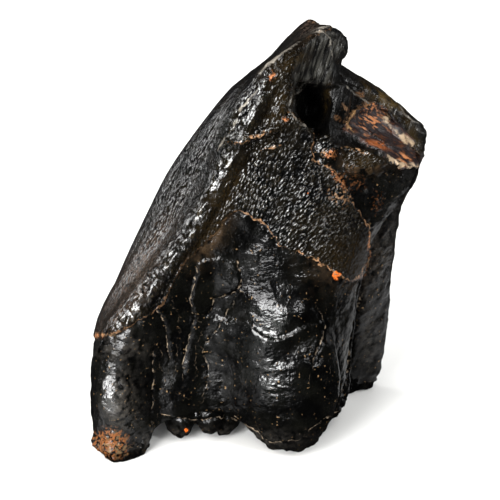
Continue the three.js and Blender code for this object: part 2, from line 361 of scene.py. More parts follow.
# Where the enamel ends on the back face, from the cheek side round to the tongue side and over the top.
enamelOutline = [(-34, -18.6), (-30.2, -16.8), (-28.9, -16.4), (-25.5, -15.8), (-22.1, -14), (-18.9, -12.1),
    (-16.8, -10.6), (-14.7, -6.8), (-12.8, -3), (-8.7, 0.9), (-6.6, 3.4), (-5.3, 5.3), (-3.8, 7),
    (-2.5, 7.4), (-0.6, 7), (0.9, 5.7), (2.3, 5.5), (3.4, 4.5), (4.7, 2.6), (5.8, 0.6), (7.5, 0.2),
    (9.4, -0.2), (10.4, -1.3), (11.7, -1.5), (13.6, -2.6), (15.7, -4.2), (17.4, -5.3), (18.9, -5.8),
    (20.4, -5.3), (21.3, -4), (21.9, -2.3), (22.3, -0.4), (22.6, 0.9), (22.6, 2.6), (22.1, 4.7), (21.1, 6.2),
    (20, 7.7), (19.2, 9.4), (18.3, 11.3), (17.4, 12.3), (16.4, 13.6), (15.8, 15.1), (14.9, 15.5),
    (13.2, 16.4), (11.9, 17), (11.7, 19.2), (11.9, 21.9), (8.9, 24.5), (7.2, 26.4), (7.4, 28.3), (8.3, 31.1),
    (8.9, 36.2), (10.4, 38.7), (12.3, 40.2), (15.4, 41.7), (15.5, 60), (-60, 60), (-60, -24)]

# Height of its edge on the other sides: degrees round the crown from the tongue side, and height.
enamelHem = [(-180, 19), (-170, 19), (-60, 45), (-15, 70), (15, 66), (35, 46), (60, 30), (95, 25), (140, 24),
    (165, 22), (180, 19)]

# Areas of the back and the top, drawn on the back plane.
areas = {
    "facet": [(8.9, 36.2), (10.4, 38.7), (12.3, 40.2), (14.2, 41.1), (15.8, 41.5), (17.5, 39.6),
        (17.7, 37.7), (16.2, 35.5), (15.3, 33), (14.7, 31.3), (12.8, 30.6), (9.4, 30.2), (8.2, 28.3),
        (8.3, 31.1)],
    "bowl": [(23, 26.8), (19.8, 26), (18.3, 24.5), (17.7, 22.6), (18.9, 21.9), (21.7, 20.2), (24.5, 18.5),
        (26.4, 17), (28.3, 15.5), (31.1, 16), (32.1, 17.9), (30.8, 19.8), (28.3, 22.6), (26.8, 24.9),
        (25.5, 26.8)],
    "shelf": [(15.1, 22.3), (17.9, 22.5), (20.8, 20.6), (23.8, 18.9), (26, 17.4), (24.2, 17), (22.3, 18.5),
        (18.9, 18.9), (16.2, 19.6)],
    "flake": [(-9.8, -2.6), (-8.5, -1.7), (-5.3, -1.3), (-2.3, -2.3), (-1.9, -4.2), (-1.9, -5.7),
        (-2.3, -7.2), (-3.4, -8.3), (-5.7, -8.9), (-6.8, -9.4), (-7.2, -11.7), (-8.5, -12.5), (-10.8, -11.9),
        (-11.3, -9.4), (-10.8, -6.6)],
    "top": [(8.3, 31.1), (7.4, 28.3), (7.2, 26.4), (8.9, 24.5), (11.9, 21.9), (13.2, 22), (15.2, 21.8),
        (16, 19.4), (18.9, 18.9), (22.3, 18.5), (24.2, 17), (26.4, 16.4), (28.3, 15.3), (31.1, 15.6),
        (60, 16), (60, 60), (15.5, 60), (15.4, 41.7), (12.3, 40.2), (10.4, 38.7), (8.9, 36.2)],
}

# Ridges and grooves: height and half width in millimetres, how uneven, and the line on the back plane.
strokes = {
    "foldRidge": (0.8, 0.9, 0.6, [(-2.6, 21), (-0.9, 21.5), (2.3, 22.6), (4.2, 23.2)]),
    "foldGroove": (-1, 0.6, 1, [(-1.3, 19.9), (1.5, 20.5), (4.6, 21.6), (6.2, 22.4)]),
    "foldLine": (0.25, 0.4, 1, [(-0.4, 18.7), (2.3, 19.2), (4.7, 20.2), (7.5, 20.8)]),
    "cheekBand": (0.28, 0.4, 0.2, [(9.4, 38.7), (4.2, 34.9), (2.3, 31.7), (0, 29.8), (-1.9, 26.8),
        (-3.4, 23), (-4.5, 21.1), (-6, 18.5), (-8.5, 14.2), (-11.3, 8.5), (-13.6, 4.7)]),
    "facetGroove": (-0.7, 0.45, 1, [(8.6, 36), (8, 31.4), (7.3, 27.4), (7.1, 25.2)]),
    "crestOuter": (0.32, 0.38, 0.15, [(0, 33.6), (3.2, 36.8), (6.2, 39.2), (9.6, 41.2), (12.6, 42.2)]),
    "crestInner": (0.32, 0.38, 0.15, [(1.4, 31.8), (4.6, 35.2), (7.6, 37.6), (10.6, 39.6), (13.6, 40.6)]),
    "tipBand": (0.35, 0.35, 0.2, [(13.2, 41), (15, 39.6), (15.4, 37), (14.6, 33.5)]),
    "pitRim": (0.35, 0.35, 0.5, [(9.6, 30.4), (8.1, 29.2), (7.3, 26.9), (8.2, 24.6), (9.8, 22.9),
        (11.9, 21.5)]),
    "farRim": (0.5, 0.45, 0.5, [(15.1, 31.5), (17.9, 30.6), (19.2, 29.6), (20.2, 28.7), (23, 26.8)]),
    "wornLine": (0.3, 0.3, 0.3, [(27.7, 27.7), (28.9, 25.8), (30.6, 24.2), (31.7, 23.8)]),
    "shelfEdge": (0.45, 0.45, 1, [(16.2, 19.6), (18.9, 18.9), (22.3, 18.5), (24.2, 17), (25.7, 16.4)]),
    "rightGroove": (-0.7, 0.5, 0.5, [(21.1, -6), (20.6, -9), (20.2, -12.3), (19.6, -15.1), (19.2, -18.9),
        (18.9, -21.7), (17.9, -27.4), (17, -33)]),
    "middleGroove": (-0.3, 1.5, 0.2, [(-7, -9), (-7.6, -14), (-8.3, -18), (-9, -24), (-9.4, -30)]),
    "cheekGroove": (-0.35, 1.3, 0.2, [(-17, -13), (-16.4, -17), (-16.6, -24), (-17.5, -31)]),
    "ledge": (-0.3, 0.3, 1, [(-26, -16.2), (-24.9, -17.2), (-23.6, -17.5), (-21.7, -17.5)]),
}

# Cracks in the root, filled with pale silt.
cracks = [
    [(-2.6, -8.7), (-3.4, -10.4), (-5.3, -13.2), (-6.6, -16), (-8.5, -17.9)],
    [(-8.7, -19.8), (-7.9, -21.7), (-7.9, -24.2), (-8.3, -26)],
    [(-17.9, -11.3), (-16.4, -12.8), (-15.7, -15.1), (-15.5, -17.9), (-15.1, -19.8), (-15.3, -21.7)],
    [(-10.4, -12.3), (-11.3, -16), (-12.1, -18.9), (-12.6, -22.6)],
    [(13.6, -12.3), (14.3, -13.6), (13.8, -16), (13.2, -17.9), (12.5, -19.2), (11.9, -21.7)],
    [(21.1, -9.1), (20.2, -12.3), (19.6, -15.1), (19.2, -18.9), (18.9, -21.7), (17.9, -27.4)],
    [(-18.3, -19.8), (-18.1, -23.6), (-18.3, -27.4), (-18.5, -31.1)],
    [(-9.8, -2.6), (-11.3, -9.4), (-10.8, -11.9), (-8.5, -12.5), (-7.2, -11.7), (-6.8, -9.4), (-5.7, -8.9),
        (-3.4, -8.3), (-2.3, -7.2), (-1.9, -5.7), (-1.9, -4.2), (-2.3, -2.3)],
    [(-16.2, -31.1), (-14, -31.6), (-11.5, -32), (-8.7, -32.1), (-5.5, -31.6)],
    [(-4.7, -31.3), (-2.6, -32), (-0.4, -33.2), (1.5, -34.3), (2.6, -35.8), (4.5, -36.4), (8, -36)],
    [(11.5, -33.6), (14, -32.4), (16.5, -30.6)],
]

# Painted highlights: pale bands along the polished crest.
crestGlintBands = [
    [(0.9, 32.1), (2.3, 33.6), (5.7, 36.8), (9.4, 40), (12.8, 41.5), (15.1, 42.1)],
    [(2.3, 33), (6.2, 36.4), (9.4, 38.7), (11.7, 40.6), (13.6, 40.9), (14.7, 40)],
]

# Pale lines: worn edges of the enamel, and the first one a painted highlight along the cheek band.
paleLines = [
    [(2.1, 31.2), (0.6, 29.2), (-1.3, 26.6), (-2.8, 22.9), (-4, 21), (-5.6, 18.4)],
    [(10, 39.6), (12.5, 40.8), (14.3, 40.9), (15.1, 40), (14.9, 38.5), (15.3, 36.6)],
    [(9.6, 30.4), (8.1, 29.2), (7.3, 26.9), (8.2, 24.6), (9.8, 22.9)],
    [(17.9, 30.6), (19.2, 29.6), (20.2, 28.7), (23, 26.8)],
    strokes["wornLine"][3],
]

beadRidge = [(3.1, 31.5), (0.8, 26.7), (-1.2, 22.7), (-2.9, 18), (-4.9, 15.5), (-6.3, 11.7), (-8.3, 8.5),
    (-10.2, 5.7), (-11.7, 2.5), (-14.2, -0.2), (-15.7, -2.5), (-17.2, -4.9), (-19.1, -7.5), (-20.8, -10.4),
    (-24.5, -14.3)]

ridgeDip = (2.3, -1.3)  # the dip beside the ridge, as steps across and up from it

lip = [(-2.3, -13.4), (-0.6, -13.6), (1.5, -14.7), (2.8, -16), (4.7, -16.6), (6.6, -16), (8.5, -15.3)]

# Soft patches of dirt, colour, gloss and relief: place on the back plane, half sizes across and up, turn in
# degrees, strength.
patches = {
    "ochre": [
        (18, -1.5, 5.5, 4.5, 0, 0.6), (-4.5, 11, 1.8, 6, -25, 0.9), (-7.5, 3, 2, 5, -35, 0.9),
        (5.5, 27.5, 2.2, 4.5, -10, 0.8), (6.5, 34.5, 4, 1.5, 40, 0.8), (25.5, 28.5, 4, 2, -40, 1),
        (14.3, 28, 0.6, 2.4, -10, 1), (30, 21.5, 1.4, 3.5, 20, 0.7), (21.5, 16.4, 3.6, 1.8, -8, 1)],
    "silt": [
        (19, 25.4, 1.6, 0.5, 45, 1.2), (18.6, 23.2, 1.6, 0.5, -58, 1.2), (0.6, 21.9, 4.2, 0.5, 19, 0.9),
        (3.8, 19.8, 3.6, 0.25, 14, 0.7), (14.2, 18.4, 1.1, 1.1, 0, 0.6), (16.5, 10.5, 3, 4, 30, 0.46),
        (-28, -16, 3.5, 0.7, -5, 0.65), (-24.5, -12, 3, 8, -30, 0.3), (18, 26.5, 0.6, 1.6, 30, 1),
        (20, 18.6, 4.5, 0.35, -12, 0.6), (18.5, 15.8, 3.5, 1.5, 0, 0.35), (-26, -36.8, 4.6, 3, 0, 0.65),
        (12, 43, 1.5, 0.8, 0, 0.5), (22.4, 0.5, 0.4, 4.5, 0, 0.9), (20.6, -4.2, 0.4, 2, -40, 0.9)],
    "amber": [
        (16.2, -4.9, 0.62, 0.8, 0, 1.3), (10.8, 10.6, 0.3, 0.26, 0, 1), (23.8, 20.2, 2.4, 0.9, -15, 1.3),
        (-12.1, -33.8, 0.4, 0.3, 0, 0.9), (-16, -33.2, 0.4, 0.3, 0, 0.9)],
    "rust": [
        (20.6, -5.2, 1.9, 0.5, 25, 0.8), (22.2, -2, 0.5, 3, -8, 0.8), (23, 25, 2.8, 2.4, -40, 1.3),
        (29.4, 17.6, 1.6, 1.4, 0, 1.1), (4.1, 32.8, 0.7, 1.1, -30, 0.8), (20.8, 29.2, 1, 0.7, 0, 1),
        (6.6, 25, 0.7, 0.6, 0, 0.9), (15.4, 18.2, 1.1, 0.9, 0, 1.1), (16.6, 13.4, 3, 0.8, -50, 0.8),
        (19.5, 13, 5, 3.5, -20, 0.38), (24, 9, 2.5, 5, 0, 0.36), (22.4, 0.5, 0.6, 3, 5, 0.8),
        (-26.5, -36.4, 3.6, 2.8, 0, 1.2), (-28.6, -16.2, 1.5, 0.6, 0, 0.7), (16.6, 25, 0.6, 1, 30, 0.9)],
    # grey-brown dust; the two patches on the far tongue-side strip (across 22 to 25) are painted sheen
    "dustAndSheen": [
        (11, 41.8, 3, 1.4, 40, 0.8), (-21, -4.5, 2.6, 11, -33, 0.9), (24.6, -2, 2.2, 11, -20, 0.4),
        (-24.5, -18.5, 4.5, 2.6, 0, 0.4), (22.6, -17, 1.8, 7, 0, 0.5), (-24.5, -29, 3, 6, 0, 0.6),
        (-8, -36, 12, 2, 0, 0.7)],
    "knob": [(14, 19.6, 1.8, 3.4, 0, 1.2), (21, 17, 4.6, 2, -8, 1.2)],
    "cream": [
        (29, 21.2, 3.6, 0.28, -45, 1.1), (28.1, 16.4, 3.2, 0.7, -12, 1.3), (25.9, 24.9, 0.6, 1.3, 30, 1)],
    "dull": [
        (4.2, -11, 3.6, 3.2, 0, 0.4), (-1.5, -8.5, 3, 3.6, 0, 0.85), (-26, -36.8, 4.6, 3, 0, 0.8),
        (2.5, -5, 4.6, 5, 0, 0.9), (-9, -32.5, 7, 2, 0, 0.8), (20, 20, 4, 1.6, -25, 0.6),
        (17, 26.4, 2.6, 4.8, 5, 0.85), (18.5, -1.5, 4.5, 5, 0, 0.55), (-1.5, 1.5, 6, 6.5, 0, 0.8),
        (12.5, -15, 4.5, 10, 0, 0.9), (-7.5, -6, 4.5, 7, 0, 0.9), (-13.5, -12, 4, 8, -30, 0.7),
        (11.6, 26.2, 3.2, 4.4, 0, 1.3), (21.5, 15.8, 4, 2.6, -8, 0.9), (6, 35, 3, 1.4, 42, 0.6),
        (20, 9, 4, 4, 0, 0.5), (20.4, -18, 1.6, 9, 6, 0.85), (-26.5, -19.5, 5, 4, 0, 0.8),
        (8, -31, 8, 3.5, 0, 0.5)],
    "gloss": [
        (-3.4, 17.9, 1.4, 14, -30, 1), (4.2, -18.5, 3.6, 11, 0, 1), (-26.5, -28.5, 3, 6, 0, 0.5),
        (-14.7, -5, 1.2, 9, -38, 1), (-19.5, -9, 1.6, 7, -48, 1), (24.4, -6, 1.3, 9, -4, 0.9)],
    "rings": [(4.8, -23.5, 4, 8.5, 0, 1)],
    "brokenEnds": [(-26, -37, 5, 3.2, 0, 1), (-10, -34, 9, 1.4, 0, 0.6)],
}

# Where the line along the enamel's edge is faint, in the same way.
faintSeam = [(-12.5, -3, 5, 18, -38, 0.92), (11, 38.5, 7, 3, 40, 1), (9.5, 29, 3, 8, 0, 1)]

# Broad swellings and dents of the back: place, half sizes, turn in degrees, height in millimetres.
swells = [
    (-26, -23.8, 5, 4.2, 0, -0.5), (1.5, -7.5, 6.5, 7, 0, -0.45), (2, 20, 8, 9, 0, 0.8),
    (-7.5, -8, 2.6, 6, 10, -0.4), (12, -14, 3, 7, 0, -0.4), (1, 27, 2, 4.5, -25, 0.7)]


def patchShare(across, up, marks):
    total = np.zeros(len(across), np.float32)
    for x, y, wide, tall, turn, strength in marks:
        a = math.radians(turn)
        dx, dy = across - x, up - y
        along = (dx * math.cos(a) + dy * math.sin(a)) / wide
        over = (-dx * math.sin(a) + dy * math.cos(a)) / tall
        total = np.maximum(total, strength * np.exp(-(along ** 2 + over ** 2)))
    return total


def nearestLine(across, up, lines):
    # signed distance to the nearest of several lines
    gaps = [lineSides(across, up, line) for line in lines]
    near = np.array([g[0] for g in gaps])
    side = np.array([g[1] for g in gaps])
    pick = near.argmin(0)
    at = np.arange(len(across))
    return near[pick, at] * side[pick, at]


def strayed(r, share):
    # the place on the back plane with part of its unevenness
    acrossPlain, upPlain = r["plain"]
    return acrossPlain + share * (r["across"] - acrossPlain), upPlain + share * (r["up"] - upPlain)


# How the drawn lines stray from their course, and how even the other edges are.
drawing = {
    "strays": [(0.35, 1.6, (11, 13)), (0.12, 0.6, (12, 14))],  # how far, over what length, seeds
    "backTurn": (-176, -8),  # degrees round the crown between which the enamel's edge is drawn
    "hemWaves": [(0.8, 5, 15), (3.0, 19, 16)],  # height, length and seed
    "seen": (0.0, 0.2),  # how far a face has to turn to the back to carry the drawn marks
    "topSeen": (-0.1, 0.05),
    "hiddenTop": (50, 8, 0.35),  # above, to the tongue side of, and facing up more than this
    "paleStray": 0.3,
    "bandStray": 0.15,
    "ridge": (1.6, 0.7, 6, 18),  # its half width, less this much between these heights on the back plane
    "steep": (0.35, -1, 6),
}


def regions(points, normals, d):
    # what each point of the skin is part of, as distances in millimetres or shares from 0 to 1
    plain = backPlane(points)
    across, up = plain
    for far, length, (acrossSeed, upSeed) in d["strays"]:
        across = across + far * noise(points, length, acrossSeed)
        up = up + far * noise(points, length, upSeed)
    toEye = eyePoint - points
    toEye /= np.linalg.norm(toEye, axis=1, keepdims=True)
    facing = np.einsum("ij,ij->i", normals, toEye.astype(np.float32))
    r = {"plain": plain, "across": across, "up": up, "facing": facing, "seen": ease(facing, *d["seen"])}
    turn = np.degrees(np.arctan2(points[:, 1], points[:, 0]))
    hem = points[:, 2] - np.interp(turn, [a for a, h in enamelHem], [h for a, h in enamelHem])
    hem += sum(height * noise(points, length, seed) for height, length, seed in d["hemWaves"])
    onBack = (turn > d["backTurn"][0]) & (turn < d["backTurn"][1]) & (facing > -0.3)
    r["enamel"] = np.where(onBack, lineSides(across, up, enamelOutline, closed=True), hem)
    for name, outline in areas.items():
        r[name] = lineSides(across, up, outline, closed=True)
    above, beyond, upward = d["hiddenTop"]
    hiddenTop = (points[:, 2] > above) & (normals[:, 2] > upward) & (points[:, 0] > beyond)
    r["top"] = np.where(ease(facing, *d["topSeen"]) > 0.5, r["top"], np.where(hiddenTop, 3.0, -3.0))
    r["crack"] = nearestLine(across, up, cracks)
    r["pale"] = nearestLine(*strayed(r, d["paleStray"]), paleLines)
    r["band"] = nearestLine(*strayed(r, d["bandStray"]), crestGlintBands)
    r["bead"] = lineSides(across, up, beadRidge)[0]
    width, less, low, high = d["ridge"]
    r["ridgeWidth"] = width - less * ease(up, low, high)
    r["dip"] = lineSides(across - ridgeDip[0], up - ridgeDip[1], beadRidge)[0]
    gap, side = lineSides(across, up, lip)
    r["lip"] = gap * side
    lean, start, full = d["steep"]
    r["steep"] = 1 - ease(across - lean * up, start, full)
    r["swell"] = sum(s[5] * patchShare(across, up, [(*s[:5], 1)]) for s in swells) * r["seen"]
    for name, marks in patches.items():
        r[name] = patchShare(across, up, marks) * r["seen"]
    r["streak"] = ease(r["facet"], 0.0, 0.6) * r["seen"]
    return r


# Relief of the enamel: heights and sizes in millimetres; sizes run along, across and deep.
enamelForm = {
    "step": (0.32, -0.25, 0.35),  # how proud of the root, and over what width at the edge
    "seam": (0.15, 0.35, 0.3),  # depth of the groove along the edge, how far out it runs, half width
    "wrinkle": (0.38, (1.7, 0.9, 0.85)),
    "wrinkleFloor": 0.2,
    "steepTurn": 66,  # which way the wrinkles run beside the ridge, in degrees
    "flatTurn": 44,
    "smooth": 0.08,  # share of the wrinkles left on the cheek
    "hidden": 0.45,  # share added on the sides that face away
    "lump": (0.25, 4.0),
    "bead": (0.40, 0.7, (1.9, 1.3, 1.3)),  # even and uneven height
    "beadTurn": 60,
    "dip": (0.5, 0.9),
}


def enamelRelief(points, bent, r, f):
    height, sizes = f["wrinkle"]
    steep = np.abs(noise(turned(bent, f["steepTurn"]), sizes, 24))
    flat = np.abs(noise(turned(bent, f["flatTurn"]), sizes, 25))
    wrinkles = steep * r["steep"] + flat * (1 - r["steep"])
    broad = f["smooth"] + (1 - f["smooth"]) * ease(r["facing"], 0.35, 0.75)
    broad += f["hidden"] * ease(-r["facing"], 0.1, 0.4)
    lumpHeight, lumpSize = f["lump"]
    h = broad * (height * (wrinkles - f["wrinkleFloor"]) + lumpHeight * lumps(points, lumpSize, 26))
    even, uneven, beadSizes = f["bead"]
    beaded = even + uneven * np.abs(noise(turned(bent, f["beadTurn"]), beadSizes, 27))
    h += hump(r["bead"], r["ridgeWidth"]) * r["seen"] * beaded
    depth, width = f["dip"]
    return h - hump(r["dip"], width) * r["seen"] * depth


def strokeRelief(points, r):
    rough = noise(points, 1.1, 28)
    h = 0
    for height, width, uneven, line in strokes.values():
        gap = lineSides(*strayed(r, uneven), line)[0]
        h = h + height * hump(gap, width) * (1 + 0.9 * uneven * rough)
    return r["seen"] * h


# Relief of the root, in the same way.
rootForm = {
    "lumps": [(0.35, 7.0, 31), (0.20, 2.6, 38), (0.07, 0.9, 36)],  # height, size, seed
    "rings": ((3.4, 0.8, 2.4), 0.16, 0.30),  # sizes, height in broad patches and on the middle pillar
    "columns": (0.12, (14.0, 2.0, 2.6)),
    "neck": (0.5, 2.2, 42, 54),  # height, size, and between which heights of the tooth it sets in
    "tongueSide": (0.35, 3.4, 13, 18),
    "crack": (0.25, 0.22),
    "flake": 0.5,
    "lip": (0.6, 8.0),
    "brokenFoot": (0.7, 1.8),
    "brokenEnd": (1.5, 2.2),
}


def rootRelief(points, bent, r, f):
    x, z = points[:, 0], points[:, 2]
    h = sum(height * lumps(points, size, seed) for height, size, seed in f["lumps"])
    sizes, everywhere, onPillar = f["rings"]
    rings = np.abs(noise(turned(bent, 4), sizes, 34))
    ringed = np.maximum(everywhere * ease(noise(points, 9.0, 35), 0.0, 0.4), onPillar * r["rings"])
    h = h + rings * ringed * ease(x, -6.0, -2.0)
    height, sizes = f["columns"]
    h += height * noise(turned(bent, 84), sizes, 37) * ease(-x, 2.0, 6.0)
    height, size, low, high = f["neck"]
    h += height * lumps(points, size, 39) * ease(z, low, high)
    height, size, low, high = f["tongueSide"]
    h += height * lumps(points, size, 47) * ease(x, low, high)
    depth, width = f["crack"]
    h -= r["seen"] * depth * hump(r["crack"], width)
    h += r["seen"] * f["flake"] * ease(r["flake"], -0.15, 0.2)
    height, width = f["lip"]
    h += r["seen"] * height * ease(-r["lip"], -0.1, 0.5) * hump(r["lip"], width)
    height, size = f["brokenFoot"]
    h += height * lumps(points, size, 41) * ease(-z, -7.0, -2.0) * ease(z, 0.1, 0.8)
    height, size = f["brokenEnd"]
    return h + height * np.abs(lumps(points, size, 46)) * r["brokenEnds"]


# Relief of the worn and broken top, in the same way.
topForm = {
    "facet": (0.40, (6.0, 0.8, 3.0)),
    "facetSteps": (0.12, (1.3, 2.2), 0.3),  # height, how far in from the edge, half width
    "splinter": (0.5, (3.0, 1.0, 1.2)),
    "crumb": (0.2, 0.9),
    "bowlDepth": 0.5,
    "bowlRim": (0.7, 0.45),
    "lump": (0.25, 2.5),
    "shelfDepth": 0.3,
}


def topRelief(points, bent, r, top, f):
    facet = ease(r["facet"], 0.3, 1.2) * r["seen"]
    height, sizes = f["facet"]
    h = facet * height * noise(turned(bent, 72), sizes, 42)
    height, places, width = f["facetSteps"]
    h += facet * height * sum(hump(r["facet"] - place, width) for place in places)
    bowl = ease(r["bowl"], -0.1, 0.4) * r["seen"]
    height, sizes = f["splinter"]
    splinters = height * noise(turned(bent, -30), sizes, 43)
    height, size = f["crumb"]
    h += bowl * (splinters + height * lumps(points, size, 44) - f["bowlDepth"])
    height, width = f["bowlRim"]
    h += r["seen"] * top * height * hump(r["bowl"], width)
    height, size = f["lump"]
    h += top * (1 - facet) * (1 - bowl) * height * lumps(points, size, 45)
    return h - ease(r["shelf"], -0.2, 0.5) * r["seen"] * f["shelfDepth"]


def relief(points, r):
    # how far the skin stands proud of the smooth form, in millimetres
    top = ease(r["top"], -0.2, 0.2)
    enamel = ease(r["enamel"], -0.1, 0.3) * (1 - top)
    root = (1 - enamel) * (1 - top)
    bent = points + 0.5 * np.stack([noise(points, 3.0, seed) for seed in (21, 22, 23)], 1)
    height, low, high = enamelForm["step"]
    depth, out, width = enamelForm["seam"]
    h = (1 - top) * (height * ease(r["enamel"], low, high) - depth * hump(r["enamel"] + out, width))
    h += enamel * enamelRelief(points, bent, r, enamelForm)
    h += strokeRelief(points, r)
    h += root * rootRelief(points, bent, r, rootForm)
    h += r["swell"] * (1 - top)
    return h + topRelief(points, bent, r, top, topForm)


def shape(piece):
    mesh = piece.data
    rest = vectors(mesh.vertices, "co")
    normals = vectors(mesh.vertices, "normal")
    h = relief(rest, regions(rest, normals, drawing))
    moved = rest + normals * h[:, None].astype(np.float32)
    moved[:, 2] = np.maximum(moved[:, 2], 0)  # the root tips stand on the table
    for name, values in (("grownAt", rest), ("grownOut", normals)):
        layer = mesh.attributes.new(name, "FLOAT_VECTOR", "POINT")
        layer.data.foreach_set("vector", values.astype(np.float32).ravel())
    mesh.vertices.foreach_set("co", moved.astype(np.float32).ravel())
    mesh.update()


shape(tooth)
print("relief raised")


def slim(piece, budget):
    faces = sum(len(p.vertices) - 2 for p in piece.data.polygons)
    if faces > budget:
        thin = piece.modifiers.new("slim", "DECIMATE")
        thin.ratio = budget / faces
        applied(piece)
    print("slimmed from", faces, "triangles")


slim(tooth, skin["triangles"])


def storeMasks(piece):
    # what the materials need to know of each point
    mesh = piece.data
    rest = vectors(mesh.attributes["grownAt"].data, "vector")
    normals = vectors(mesh.attributes["grownOut"].data, "vector")
    normals /= np.linalg.norm(normals, axis=1, keepdims=True) + 1e-6
    r = regions(rest, normals, drawing)
    masks = {
        "enamelEdge": r["enamel"],
        "seamShare": (1.05 - patchShare(r["across"], r["up"], faintSeam)) * r["seen"],
        "crackSide": r["crack"],
        "crackShare": r["seen"] * (1 - ease(r["enamel"], -0.3, 0.0)),
        "paleSide": r["pale"],
        "bandSide": r["band"],
        "paleShare": ease(r["facing"], 0.12, 0.4),
        "dullShare": np.minimum(r["dull"], 1),
        "ridgeShare": hump(r["bead"], r["ridgeWidth"]) * r["seen"],
        "cheekShare": 1 - ease(r["facing"], 0.35, 0.65),
    }
    for name in ("ochre", "silt", "amber", "rust", "dustAndSheen", "cream", "gloss", "streak", "steep"):
        masks[name + "Share"] = r[name]
    for name, values in masks.items():
        layer = mesh.attributes.new(name, "FLOAT", "POINT")
        layer.data.foreach_set("value", values.astype(np.float32))
    for name in ("grownAt", "grownOut"):
        mesh.attributes.remove(mesh.attributes[name])
    return r


r = storeMasks(tooth)


def perMm(size):
    # a texture scale that gives one lump for each size in millimetres
    return 1 / (size * mm)


def newMaterial(name):
    material = bpy.data.materials.new(name)
    material.use_nodes = True
    tree = material.node_tree
    at = put(tree, "ShaderNodeTexCoord").outputs["Object"]
    return material, tree, tree.nodes["Principled BSDF"], at


def mottle(tree, at, size, low, high, detail=3.0):
    # soft patches of one size in millimetres, 0 where the cloud is under low and 1 over high
    cloud = put(tree, "ShaderNodeTexNoise", {"Vector": at, "Scale": perMm(size), "Detail": detail})
    return put(tree, "ShaderNodeMapRange", {"Value": cloud.outputs["Fac"], "From Min": low,
        "From Max": high}).outputs["Result"]


crumbs = {"size": 0.7, "low": 0.25, "high": 0.75}  # what makes thin lines wander


def thinLine(tree, at, maskName, shareName, halfWidth, wander, gaps):
    # a narrow, crumbly line where a stored distance passes zero, broken up by gaps
    side = put(tree, "ShaderNodeAttribute", attribute_name=maskName).outputs["Fac"]
    share = put(tree, "ShaderNodeAttribute", attribute_name=shareName).outputs["Fac"]
    cloud = put(tree, "ShaderNodeTexNoise", {"Vector": at, "Scale": perMm(crumbs["size"]), "Detail": 3.0})
    shift = put(tree, "ShaderNodeMapRange", {"Value": cloud.outputs["Fac"], "From Min": crumbs["low"],
        "From Max": crumbs["high"], "To Min": -wander, "To Max": wander}).outputs["Result"]
    moved = put(tree, "ShaderNodeMath", {0: side, 1: shift}, operation="ADD").outputs["Value"]
    away = put(tree, "ShaderNodeMath", {0: moved}, operation="ABSOLUTE").outputs["Value"]
    core = put(tree, "ShaderNodeMapRange", {"Value": away, "From Min": halfWidth * 0.3,
        "From Max": halfWidth, "To Min": share, "To Max": 0.0}).outputs["Result"]
    return put(tree, "ShaderNodeMath", {0: core, 1: gaps}, operation="MULTIPLY").outputs["Value"]


def laid(tree, at, along, sizes):
    # the place, in steps of the sizes, turned to run along one direction of the back face (degrees)
    return put(tree, "ShaderNodeMapping", {"Vector": at, "Rotation": (0, -math.radians(along), 0),
        "Scale": tuple(size * mm for size in sizes)}, vector_type="TEXTURE").outputs["Vector"]


def grain(tree, at, along, sizes, detail=2.0):
    # texture drawn out along one direction
    return put(tree, "ShaderNodeTexNoise", {"Vector": laid(tree, at, along, sizes), "Scale": 1.0,
        "Detail": detail}).outputs["Fac"]


def beads(tree, at, along, sizes):
    # small domes with sharp creases between them, drawn out along one direction
    place = laid(tree, at, along, sizes)
    wave = put(tree, "ShaderNodeTexNoise", {"Vector": place, "Scale": 0.6, "Detail": 1.0}).outputs["Color"]
    bent = put(tree, "ShaderNodeMix", {0: 0.35, 4: place, 5: wave}, data_type="VECTOR").outputs[1]
    cell = put(tree, "ShaderNodeTexVoronoi", {"Vector": bent, "Scale": 1.5}).outputs["Distance"]
    return put(tree, "ShaderNodeMath", {0: cell, 1: cell}, operation="MULTIPLY").outputs["Value"]


def over(tree, base, share, hexColour):
    # a colour laid over another by its share
    return put(tree, "ShaderNodeMix", {0: share, 6: base, 7: linear(hexColour)}, data_type="RGBA").outputs[2]


def storedShare(tree, maskName, cloud, crisp=0.0):
    # a stored patch, its edge eaten away by a cloud and, if crisp, drawn sharp
    patch = put(tree, "ShaderNodeAttribute", attribute_name=maskName).outputs["Fac"]
    eaten = put(tree, "ShaderNodeMath", {0: patch, 1: cloud}, operation="MULTIPLY", use_clamp=True)
    return put(tree, "ShaderNodeMapRange", {"Value": eaten.outputs["Value"], "From Min": crisp * 0.4,
        "From Max": 1 - crisp * 0.5}).outputs["Result"]


def stained(tree, at, base, stains, lines=()):
    # patches of colour one over the other, everywhere or where a mask allows them, then thin lines: mostly
    # dirt, in places painted sheen and painted highlights
    for maskName, cloud, crisp, hexColour in stains:
        share = mottle(tree, at, *cloud)
        if maskName:
            share = storedShare(tree, maskName, share, crisp)
        base = over(tree, base, share, hexColour)
    for maskName, shareName, halfWidth, wander, cloud, hexColour in lines:
        line = thinLine(tree, at, maskName, shareName, halfWidth, wander, mottle(tree, at, *cloud))
        base = over(tree, base, line, hexColour)
    return base


def worn(tree, at, s):
    # roughness that drifts between the smoothest and the roughest
    return put(tree, "ShaderNodeMapRange", {"Value": mottle(tree, at, *s["wear"]), "To Min": s["smoothest"],
        "To Max": s["roughest"]}).outputs["Result"]


def rubbed(tree, plain, polished):
    # a value changed where handling and rain have polished the surface
    share = put(tree, "ShaderNodeAttribute", attribute_name="glossShare").outputs["Fac"]
    return put(tree, "ShaderNodeMix", {0: share, 2: plain, 3: polished}).outputs[0]


dullestGloss = 0.04


def dulled(tree, shine):
    # gloss taken down where dirt and wear keep the surface dull
    dull = put(tree, "ShaderNodeAttribute", attribute_name="dullShare").outputs["Fac"]
    return put(tree, "ShaderNodeMix", {0: dull, 2: shine, 3: dullestGloss}).outputs[0]


